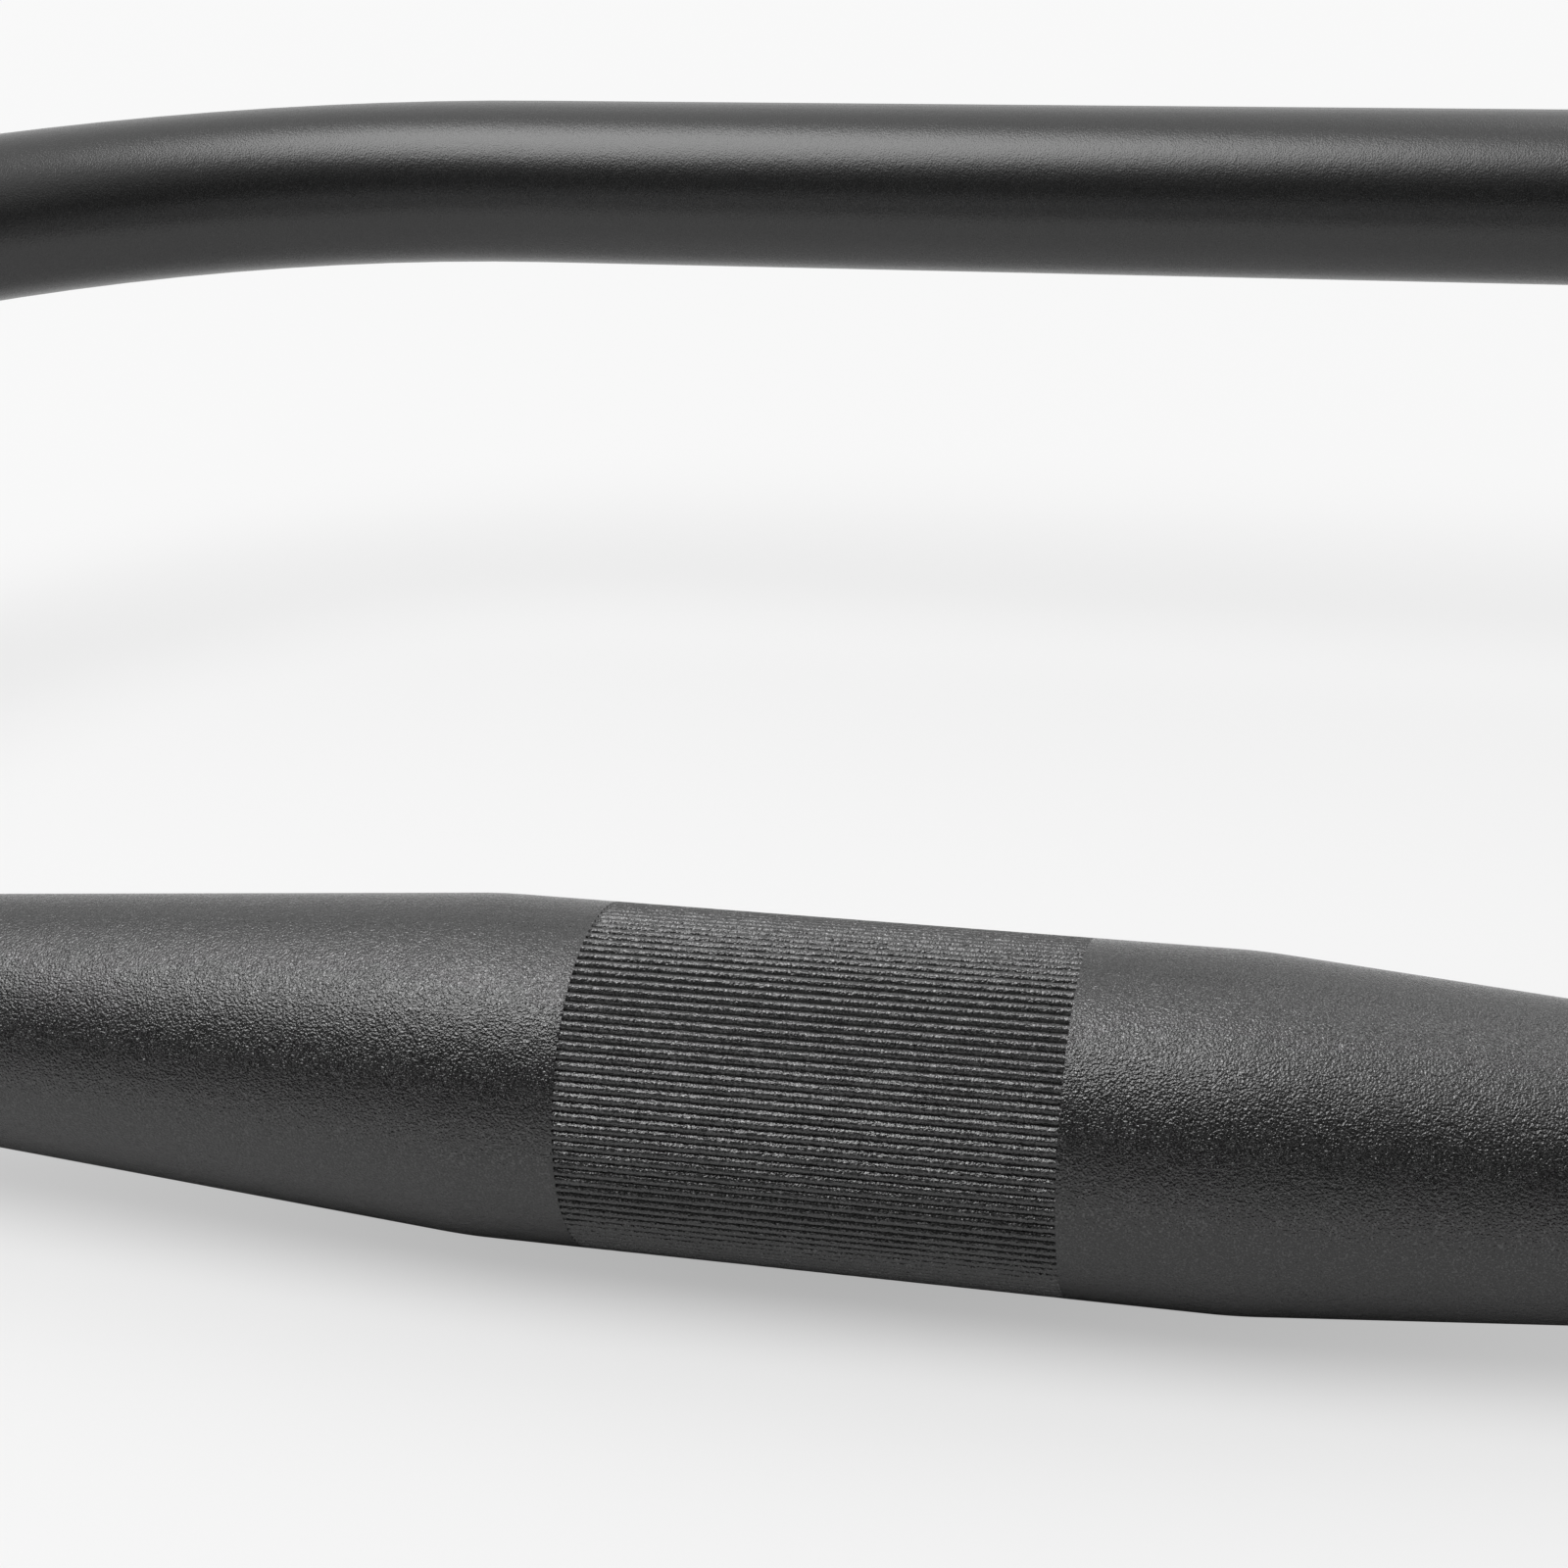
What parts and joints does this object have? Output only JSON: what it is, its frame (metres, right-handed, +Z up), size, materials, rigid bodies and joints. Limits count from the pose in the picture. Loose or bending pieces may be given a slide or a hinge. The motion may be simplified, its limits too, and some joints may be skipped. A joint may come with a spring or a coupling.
{
  "type": "touring handlebar",
  "caption": "Closed-loop touring handlebar: a raised crossbar with a grooved stem clamp barrel, welded into one bent tube that forms the front loop and the swept-back grips.",
  "frame": {"origin": "middle of the grooved clamp barrel, on its axis", "axes": "+X along the clamp barrel to the rider's right, +Y forward towards the front tube, +Z up with the loop tube's plane level"},
  "size_m": [0.7318, 0.3371, 0.072],
  "materials": {
    "blasted_black_aluminium": "fine shot-blasted and black anodised, satin",
    "black_weld_metal": "as-welded bead, blasted and black anodised with the tubes"
  },
  "bodies": {
    "root": {"crossbar": "blasted_black_aluminium", "loop_tube": "blasted_black_aluminium", "left_weld_bead": "black_weld_metal", "right_weld_bead": "black_weld_metal"}
  },
  "joints": []
}
